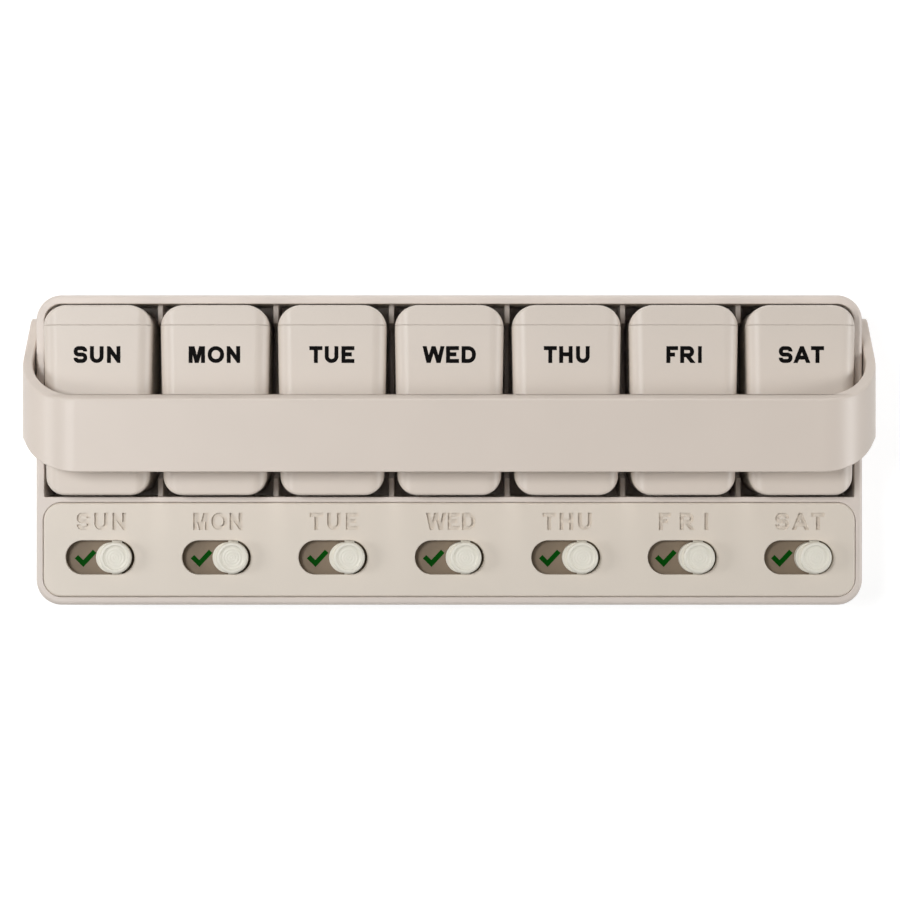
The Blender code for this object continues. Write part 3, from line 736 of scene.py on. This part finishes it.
def pod_block(name, pod, size):
    """A pod's top as one closed block, with a flat crown, drooping shoulders and rounded ends."""
    quarter = [math.pi / 2 * step / SHOULDER_PARTS for step in range(SHOULDER_PARTS + 1)]
    bm = bmesh.new()
    rings = []
    for angle in quarter[::2]:
        outline = size.plan(pod, pod.end_edge * (1 - math.cos(angle)))
        rings.append([bm.verts.new((*point, 0)) for point in outline])
    for outer, inner in zip(rings, rings[1:]):
        for index in range(len(outer)):
            bm.faces.new((outer[index - 1], outer[index], inner[index], inner[index - 1]))
    bm.faces.new(rings[-1])
    shoulder = [size.half - pod.shoulder_width * (1 - math.sin(angle)) for angle in quarter[:-1]]
    across = [side * x for side in (-1, 1) for x in shoulder]
    along = [size.front + (size.back - size.front) * part / LENGTH_PARTS
             for part in range(1, LENGTH_PARTS)]
    for places, normal in ((across, Vector((1, 0, 0))), (along, Vector((0, 1, 0)))):
        for place in places:
            bmesh.ops.bisect_plane(bm, geom=bm.verts[:] + bm.edges[:] + bm.faces[:],
                                   dist=SAME_POINT, plane_co=normal * place, plane_no=normal)
    for vert in bm.verts:
        vert.co.z = size.height(pod, vert.co.x, vert.co.y)
    rim = [edge for edge in bm.edges if edge.is_boundary]
    wall = bmesh.ops.extrude_edge_only(bm, edges=rim)["geom"]
    for vert in wall:
        if isinstance(vert, bmesh.types.BMVert):
            vert.co.z = size.base
    bmesh.ops.contextual_create(bm, geom=[edge for edge in bm.edges if edge.is_boundary])
    return solid(name, bm)


def stroke(points, width):
    """Outline of a bent pen stroke with square ends and mitred corners."""
    outer = []
    inner = []
    for index, point in enumerate(points):
        before = points[index] - points[index - 1] if index else points[1] - points[0]
        after = points[index + 1] - points[index] if index < len(points) - 1 else before
        first = Vector((-before.y, before.x)).normalized()
        second = Vector((-after.y, after.x)).normalized()
        mitre = (first + second) / (1 + first.dot(second)) * width / 2
        outer.append(point + mitre)
        inner.append(point - mitre)
    return outer + inner[::-1]


def lettering(word, height, weight, middle, base, rise, width=0):
    """Bold capitals as one closed mesh, spaced as usual, or squeezed or spread to a width."""
    widths = [LETTERS[letter][0] * height for letter in word]
    rooms = [LETTERS[letter][1] * height for letter in word]
    gaps = [before + after for before, after in zip(rooms, rooms[1:])]
    if width:
        squeeze = min(1, width / (sum(widths) + sum(gaps)))
        widths = [wide * squeeze for wide in widths]
        gaps = [gap * squeeze for gap in gaps]
        spread = (width - sum(widths) - sum(gaps)) / len(gaps)
        gaps = [gap + spread for gap in gaps]
    left = middle.x - (sum(widths) + sum(gaps)) / 2
    foot = middle.y - height / 2
    frames = []
    layers = [[], []]
    for letter, wide, gap in zip(word, widths, gaps + [0]):
        frames.append(rectangle(wide / 2, foot, foot + height, middle=left + wide / 2))
        for layer, strokes in zip(layers, LETTERS[letter][2:]):
            for points in strokes:
                line = rounded([
                    (left + weight / 2 + point[0] * (wide - weight),
                     foot + weight / 2 + point[1] * (height - weight),
                     point[2] * (wide - weight) if len(point) > 2 else 0) for point in points])
                layer.append(stroke(line, weight))
        left += wide + gap
    maker = prism(word, layers[0], base, base + rise)
    if layers[1]:
        combine(maker, "UNION", layers[1], base, base + rise)
    combine(maker, "INTERSECT", frames, base - OVERRUN, base + OVERRUN)
    return cleaned(baked(maker))


class PILLBOX_OT_tray(bpy.types.Operator):
    """Tray with a bay for the pods and a ribbed recess for the tracker"""
    bl_idname = "pill_organizer.tray"
    bl_label = "Tray"

    def execute(self, context):
        tray = context.scene.pill_organizer.tray
        size = TraySizes(tray)
        plan = rectangle(size.half, size.front, size.back, tray.corner, tray.corner)
        maker = prism("tray_maker", [plan], 0, size.top, low_edge=tray.rim_edge,
                      high_edge=tray.rim_edge)
        over = size.top + OVERRUN
        bay = rectangle(size.bay_half, size.bay_front, size.bay_back, 0,
                        tray.corner - tray.side_wall)
        combine(maker, "DIFFERENCE", [bay], tray.floor, over)
        reach = tray.crossbar / 2
        divider = rectangle(tray.divider / 2, size.bay_front - reach, size.bay_back + reach)
        wall = prism("dividers", [divider], tray.floor / 2, size.top - tray.divider_drop)
        dip_front = size.bay_front + tray.divider_end
        dip_back = size.bay_back - tray.divider_end
        dip_foot = size.top - tray.divider_drop - tray.divider_dip
        slant = tray.dip_curve / 2
        dip = rounded([(dip_front, over, 0), (dip_back, over, 0),
                       (dip_back - slant, dip_foot, tray.dip_curve),
                       (dip_front + slant, dip_foot, tray.dip_curve)])
        combine(wall, "DIFFERENCE", [dip], -tray.divider, tray.divider, axis="X")
        boolean(maker, repeated(wall, len(DAYS) - 1), "UNION")
        corner = context.scene.pill_organizer.tracker.corner + SEAT_GAP
        recess = rectangle(size.recess_half, size.recess_front, size.recess_back, corner, corner)
        combine(maker, "DIFFERENCE", [recess], size.ledge_top, over)
        pockets = day_cells(size.recess_half - tray.ledge, size.recess_front + tray.ledge,
                            size.recess_back - tray.ledge, tray.rib, corner - tray.ledge)
        combine(maker, "DIFFERENCE", pockets, tray.floor, size.ledge_top + OVERRUN)
        holes = on_pivots("pivot_holes", tray.pivot_hole, size.bay_half - OVERRUN / 2,
                          size.half + OVERRUN / 2)
        boolean(maker, holes, "DIFFERENCE")
        soften(maker, tray.inner_edge)
        finish = moulded_abs("tray_abs", tray.colour)
        piece("tray_shell", cleaned(baked(maker)), finish, "base", "tray")
        return {"FINISHED"}


def handle_pivot():
    """The handle's axis as a point in (Y, Z)."""
    joint = next(item for item in frame["joints"] if item["name"] == "handle_swing")
    return Vector(joint["pos_m"][1:])


def on_pivots(name, radius, inner, outer):
    """A cylinder on the handle's axis at each side, between two distances from the middle."""
    pivot = handle_pivot()
    middles = [Vector((side * (inner + outer) / 2, *pivot)) for side in (-1, 1)]
    return cylinders(name, middles, radius, outer - inner, "X")


def day_cells(half, front, back, rib, radius):
    """One rounded cell for each day inside a frame, with ribs between the days."""
    cells = []
    reach = (day_pitch() - rib) / 2
    for day in DAYS:
        left = max(day_centre(day) - reach, -half)
        right = min(day_centre(day) + reach, half)
        cells.append(rectangle((right - left) / 2, front, back, radius, radius,
                               (left + right) / 2))
    return cells


def slot_row(tracker):
    """Middle of the slots along Y."""
    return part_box("tracker_panel")[0].y + tracker.slot_from_front


class PILLBOX_OT_bed(bpy.types.Operator):
    """Dark bed under the tracker panel, with a printed check mark for each day"""
    bl_idname = "pill_organizer.bed"
    bl_label = "Tracker Bed and Check Marks"

    def execute(self, context):
        tracker = context.scene.pill_organizer.tracker
        low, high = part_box("tracker_bed")
        plan = rectangle(high.x, low.y, high.y, tracker.corner, tracker.corner)
        maker = prism("bed_maker", [plan], low.z, high.z)
        soften(maker, tracker.edge)
        finish = moulded_abs("bed_abs", tracker.bed_colour, roughness=0.6, grain=0.6, bump=0.2)
        piece("tracker_bed_plate", cleaned(baked(maker)), finish, "base",
              "tracker_bed")
        row = slot_row(tracker)
        corners = [Vector((x * MILLIMETRE, row + y * MILLIMETRE)) for x, y in CHECK_MARK]
        mark = prism("check_marks", [stroke(corners, tracker.stroke)], high.z,
                     high.z + tracker.ink)
        ink = pad_print_ink("check_ink", tracker.check_colour)
        marks = repeated(mark, len(DAYS), ink)
        piece("check_marks", cleaned(baked(marks)), ink, "base")
        return {"FINISHED"}


class PILLBOX_OT_panel(bpy.types.Operator):
    """Tracker panel with a slot and a sunk name for each day"""
    bl_idname = "pill_organizer.panel"
    bl_label = "Tracker Panel"

    def execute(self, context):
        tracker = context.scene.pill_organizer.tracker
        low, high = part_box("tracker_panel")
        fit = tracker.panel_fit
        plan = rectangle(high.x + fit, low.y - fit, high.y + fit, tracker.corner, tracker.corner)
        maker = prism("panel_maker", [plan], low.z, high.z, high_edge=tracker.edge)
        cells = day_cells(high.x - tracker.skirt, low.y + tracker.skirt, high.y - tracker.skirt,
                          tracker.skirt, tracker.corner - tracker.skirt)
        combine(maker, "DIFFERENCE", cells, low.z - OVERRUN, high.z - tracker.thickness)
        row = slot_row(tracker)
        end = tracker.slot_width / 2
        slot = rectangle(tracker.slot_length / 2, row - end, row + end, end, end)
        slots = repeated(prism("slots", [slot], low.z - OVERRUN, high.z + OVERRUN), len(DAYS))
        boolean(maker, slots, "DIFFERENCE")
        soften(maker, tracker.slot_edge)
        for day in DAYS:
            middle = Vector((day_centre(day) + tracker.name_right, row + tracker.name_from_slot))
            letters = lettering(day.upper(), tracker.name_height, tracker.name_weight, middle,
                                high.z - tracker.name_depth, OVERRUN / 2, tracker.name_width)
            boolean(maker, placed("name_" + day, letters), "DIFFERENCE")
        finish = moulded_abs("panel_abs", tracker.panel_colour)
        piece("tracker_panel_plate", cleaned(baked(maker)), finish, "base",
              "tracker_panel")
        return {"FINISHED"}


class PILLBOX_OT_buttons(bpy.types.Operator):
    """Round sliding buttons with a ringed dish, a longer neck and a flange"""
    bl_idname = "pill_organizer.buttons"
    bl_label = "Sliding Buttons"

    def execute(self, context):
        button = context.scene.pill_organizer.button
        tracker = context.scene.pill_organizer.tracker
        low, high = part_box("slider_sun")
        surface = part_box("tracker_panel")[1].z
        row = slot_row(tracker)
        neck_radius = tracker.slot_width / 2 - button.neck_clearance
        cap_radius = neck_radius + button.cap_overhang
        tail = neck_radius + button.tail
        middle = low.x + tail
        top = surface + button.cap_rise
        maker = cap_solid(button, cap_radius, top, surface + button.step_rise / 2)
        neck = rectangle((neck_radius + tail) / 2, -neck_radius, neck_radius, neck_radius,
                         neck_radius, (neck_radius - tail) / 2)
        step = surface + button.step_rise
        combine(maker, "UNION", [neck], low.z, step, high_edge=button.cap_edge / 2)
        reach = (high.y - low.y) / 2
        flange = rectangle(button.flange_length / 2, -reach, reach, button.cap_edge,
                           button.cap_edge)
        combine(maker, "UNION", [flange], low.z, low.z + button.flange)
        mesh = cleaned(baked(maker))
        mesh.transform(Matrix.Translation((middle - day_centre("sun"), row, 0)))
        finish = moulded_abs("button_abs", button.colour, roughness=0.38, grain=0.35, bump=0.05)
        week_pieces("button_cap_", mesh, finish, "button_", "slider")
        return {"FINISHED"}


def cap_solid(button, radius, top, base):
    """The button's cap, turned from a profile with fine rings in its dish."""
    dish = radius - button.dish_margin
    floor = top - button.dish_depth
    rings = int(dish / button.ring_width)
    profile = [(0, floor)]
    for part in range(1, rings * RING_PARTS + 1):
        out = part * button.ring_width / RING_PARTS
        wave = math.sin(math.pi * out / button.ring_width) ** 2
        if out < dish - button.dish_depth:
            profile.append((out, floor - button.ring_depth * wave))
    profile += arc(Vector((dish - button.dish_depth, top)), button.dish_depth,
                   -math.pi / 2, math.pi / 2)
    profile += arc(Vector((radius - button.cap_edge, top - button.cap_edge)), button.cap_edge,
                   math.pi / 2, -math.pi / 2)
    profile += [(radius, base), (0, base)]
    bm = bmesh.new()
    verts = [bm.verts.new((across, 0, height)) for across, height in profile]
    edges = [bm.edges.new(pair) for pair in zip(verts, verts[1:])]
    bmesh.ops.spin(bm, geom=verts + edges, cent=(0, 0, 0), axis=(0, 0, 1), angle=math.tau,
                   steps=CAP_PARTS, use_merge=True)
    bmesh.ops.remove_doubles(bm, verts=bm.verts, dist=SAME_POINT)
    return solid("cap_maker", bm)


class PILLBOX_OT_cups(bpy.types.Operator):
    """Thin open cups that hold a day's pills"""
    bl_idname = "pill_organizer.cups"
    bl_label = "Pod Cups"

    def execute(self, context):
        pod = context.scene.pill_organizer.pod
        size = PodSizes(pod)
        outside = size.plan(pod, pod.cup_inset)
        maker = prism("cup_maker", [outside], size.cup_base, size.cup_top, low_edge=pod.cup_foot)
        inside = size.plan(pod, pod.cup_inset + pod.cup_wall)
        combine(maker, "DIFFERENCE", [inside], size.cup_base + pod.cup_floor,
                size.cup_top + OVERRUN, low_edge=pod.cup_scoop)
        mesh = size.shaped(pod, maker)
        week_pieces("cup_shell_", mesh, moulded_abs("cup_abs", pod.cup_colour), "pod_", "pod_cup")
        return {"FINISHED"}


class PILLBOX_OT_covers(bpy.types.Operator):
    """Pod covers with a fixed deck in front and a hinge strip at the back"""
    bl_idname = "pill_organizer.covers"
    bl_label = "Pod Covers"

    def execute(self, context):
        pod = context.scene.pill_organizer.pod
        size = PodSizes(pod)
        maker = pod_block("cover_maker", pod, size)
        lip_outside = pod.cup_inset + pod.cup_wall + SEAT_GAP
        lip_base = size.base - pod.lip_depth
        combine(maker, "UNION", [size.plan(pod, lip_outside)], lip_base, size.base + OVERRUN)
        combine(maker, "DIFFERENCE", [size.plan(pod, lip_outside + pod.lip)],
                lip_base - OVERRUN, size.skin_underside)
        doorway = rectangle(size.half + OVERRUN, size.door_front - pod.seam,
                            size.door_back + pod.seam)
        combine(maker, "DIFFERENCE", [doorway], size.door_base - pod.seam,
                size.crown + OVERRUN)
        notch = Vector((0, size.door_front - SEAT_GAP, size.crown))
        nail = cylinders("nail_notch", [notch], pod.notch_radius, 2 * pod.notch_depth, "Z")
        boolean(maker, nail, "DIFFERENCE")
        mesh = size.shaped(pod, maker)
        finish = moulded_abs("cover_abs", pod.cover_colour)
        week_pieces("cover_shell_", mesh, finish, "pod_", "pod_cover")
        return {"FINISHED"}


class PILLBOX_OT_doors(bpy.types.Operator):
    """Hinged pod doors with the day names printed on them"""
    bl_idname = "pill_organizer.doors"
    bl_label = "Pod Doors and Day Names"

    def execute(self, context):
        pod = context.scene.pill_organizer.pod
        size = PodSizes(pod)
        maker = pod_block("door_maker", pod, size)
        span = rectangle(size.half + OVERRUN, size.door_front, size.door_back)
        combine(maker, "INTERSECT", [span], size.door_base, size.crown + OVERRUN)
        inside = rectangle(size.half - pod.door_wall, size.door_front + pod.door_wall,
                           size.door_back - pod.door_wall)
        combine(maker, "DIFFERENCE", [inside], size.door_base - OVERRUN, size.skin_underside)
        mesh = size.shaped(pod, maker)
        finish = moulded_abs("door_abs", pod.cover_colour)
        ink = pad_print_ink("label_ink", pod.ink_colour)
        for day in DAYS:
            piece("door_shell_" + day, mesh, finish, "door_" + day,
                  "pod_door_" + day, day_centre(day))
            middle = Vector((day_centre(day), pod.label_y))
            label = lettering(day.upper(), pod.label_height, pod.label_weight, middle,
                              size.crown, pod.ink)
            piece("printed_name_" + day, label, ink, "door_" + day)
        return {"FINISHED"}


def tangent_angle(point, centre, radius, side):
    """Where on a circle the line from a point outside it touches, on the chosen side."""
    away = point - centre
    return math.atan2(away.y, away.x) + side * math.acos(radius / away.length)


def handle_side(handle, underside, top):
    """Side outline of the handle in (Y, Z): the wide band narrows down each arm to its pivot."""
    pivot = handle_pivot()
    band_back = pivot.x - handle.band_setback
    slant_foot = Vector((band_back + handle.band_slant, underside))
    elbow = pivot + Vector((-handle.elbow_reach, handle.elbow_height))
    shoulder = pivot + Vector((-handle.shoulder_reach, handle.shoulder_height))
    back_angle = tangent_angle(slant_foot, pivot, handle.boss_radius, -1)
    front_angle = tangent_angle(elbow, pivot, handle.boss_radius, 1) - math.tau
    boss = arc(pivot, handle.boss_radius, back_angle, front_angle - back_angle)
    return rounded([
        (band_back, top, 0),
        (*slant_foot, 0),
        *[(*point, 0) for point in boss],
        (*elbow, handle.elbow_curve),
        (*shoulder, handle.shoulder_curve),
        (band_back - handle.band_width, top, 0),
    ])


class PILLBOX_OT_handle(bpy.types.Operator):
    """Carry handle: a bent strap cut to its side outline, with its pivots"""
    bl_idname = "pill_organizer.handle"
    bl_label = "Carry Handle"

    def execute(self, context):
        handle = context.scene.pill_organizer.handle
        tray = context.scene.pill_organizer.tray
        size = TraySizes(tray)
        low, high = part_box("carry_handle")
        finish = moulded_abs("handle_abs", handle.colour, roughness=0.40)
        strap = placed("strap_maker", bpy.data.meshes.new("strap_maker"))
        foot = low.z - handle.bend - OVERRUN
        rise = high.z - handle.thickness / 2 - foot
        use_tree(strap, strap_tree(), {
            "Span": high.x - low.x - handle.thickness, "Rise": rise,
            "Thickness": handle.thickness, "Width": high.y - low.y + OVERRUN,
            "Bend": handle.bend - handle.thickness / 2, "Bend Steps": handle.bend_steps,
            "Finish": finish})
        mesh = cleaned(baked(strap))
        mesh.transform(Matrix.Translation((0, (low.y + high.y) / 2, foot + rise / 2)))
        maker = placed("handle_maker", mesh)
        outline = handle_side(handle, high.z - handle.thickness, high.z)
        reach = high.x + OVERRUN
        combine(maker, "INTERSECT", [outline], -reach, reach, axis="X")
        soften(maker, handle.edge, STRAP_EDGE_PARTS)
        trunnions = on_pivots("trunnions", handle.trunnion_radius,
                              size.bay_half + handle.trunnion_recess,
                              high.x - handle.thickness / 2)
        boolean(maker, trunnions, "UNION")
        piece("handle_strap", cleaned(baked(maker)), finish, "handle",
              "carry_handle")
        return {"FINISHED"}


class PILLBOX_OT_stage(bpy.types.Operator):
    """White paper floor, soft lamps, an even sky and the camera above the tray"""
    bl_idname = "pill_organizer.stage"
    bl_label = "Stage"

    def execute(self, context):
        stage = context.scene.pill_organizer.stage
        scene = context.scene
        scene.view_settings.view_transform = "Standard"
        half = stage.floor_size / 2
        floor = prism("floor", [rectangle(half, -half, half)], -OVERRUN, 0)
        floor.data.materials.append(photo_paper())
        scene.world = even_sky(stage.sky)
        for name, angles in LAMPS.items():
            azimuth, height = [math.radians(angle) for angle in angles]
            lamp = bpy.data.lights.new(name, "AREA")
            lamp.energy = getattr(stage, name)
            lamp.size = stage.key_size if name == "key" else stage.side_size
            made = placed(name, lamp)
            across = math.cos(height)
            away = Vector((across * math.cos(azimuth), across * math.sin(azimuth),
                           math.sin(height)))
            made.location = away * stage.lamp_distance
            made.rotation_euler = away.to_track_quat("Z", "Y").to_euler()
        view = bpy.data.cameras.new("camera")
        view.lens = stage.lens
        scene.camera = placed("camera", view)
        scene.camera.location = (stage.camera_x, 0, stage.camera_height)
        return {"FINISHED"}


def even_sky(strength):
    """An even white sky that lights softly, and shows plain white behind the tray."""
    world = bpy.data.worlds.new("even_sky")
    world.use_nodes = True
    tree = world.node_tree
    tree.nodes.clear()
    lit = add_node(tree, "ShaderNodeBackground", {
        "Color": shade_of(WHITE, 1), "Strength": strength})
    white = add_node(tree, "ShaderNodeBackground", {
        "Color": shade_of(WHITE, 1), "Strength": 1.0})
    choice = add_node(tree, "ShaderNodeMixShader", {
        0: seen_by_eye(tree), 1: lit.outputs[0], 2: white.outputs[0]})
    add_node(tree, "ShaderNodeOutputWorld", {"Surface": choice.outputs[0]})
    return world


class PILLBOX_PT_sidebar(bpy.types.Panel):
    """Lists the pieces and their settings in the sidebar"""
    bl_idname = "PILLBOX_PT_sidebar"
    bl_label = "Pill Organizer"
    bl_space_type = "VIEW_3D"
    bl_region_type = "UI"
    bl_category = "Pill Organizer"

    def draw(self, context):
        for operator in OPERATORS:
            self.layout.operator(operator.bl_idname)
        settings = context.scene.pill_organizer
        for group in (settings.tray, settings.tracker, settings.button, settings.pod,
                      settings.handle, settings.stage):
            box = self.layout.box()
            box.label(text=group.bl_rna.name)
            for name in group.bl_rna.properties.keys():
                if name not in ("rna_type", "name"):
                    box.prop(group, name)


OPERATORS = (PILLBOX_OT_stage, PILLBOX_OT_tray, PILLBOX_OT_bed, PILLBOX_OT_panel,
             PILLBOX_OT_buttons, PILLBOX_OT_cups, PILLBOX_OT_covers, PILLBOX_OT_doors,
             PILLBOX_OT_handle)
CLASSES = (TraySettings, TrackerSettings, ButtonSettings, PodSettings, HandleSettings,
           StageSettings, OrganizerSettings) + OPERATORS + (PILLBOX_PT_sidebar,)


def register():
    """Make the settings, operators and panel known, and put the settings on each scene."""
    for kind in CLASSES:
        bpy.utils.register_class(kind)
    bpy.types.Scene.pill_organizer = PointerProperty(
        type=OrganizerSettings, name="Pill Organizer", description="The pill organizer's settings")


def unregister():
    """Take back what register() did."""
    del bpy.types.Scene.pill_organizer
    for kind in reversed(CLASSES):
        bpy.utils.unregister_class(kind)


def main():
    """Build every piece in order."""
    register()
    bpy.ops.pill_organizer.stage()
    bpy.ops.pill_organizer.tray()
    bpy.ops.pill_organizer.bed()
    bpy.ops.pill_organizer.panel()
    bpy.ops.pill_organizer.buttons()
    bpy.ops.pill_organizer.cups()
    bpy.ops.pill_organizer.covers()
    bpy.ops.pill_organizer.doors()
    bpy.ops.pill_organizer.handle()


if __name__ == "__main__":
    main()
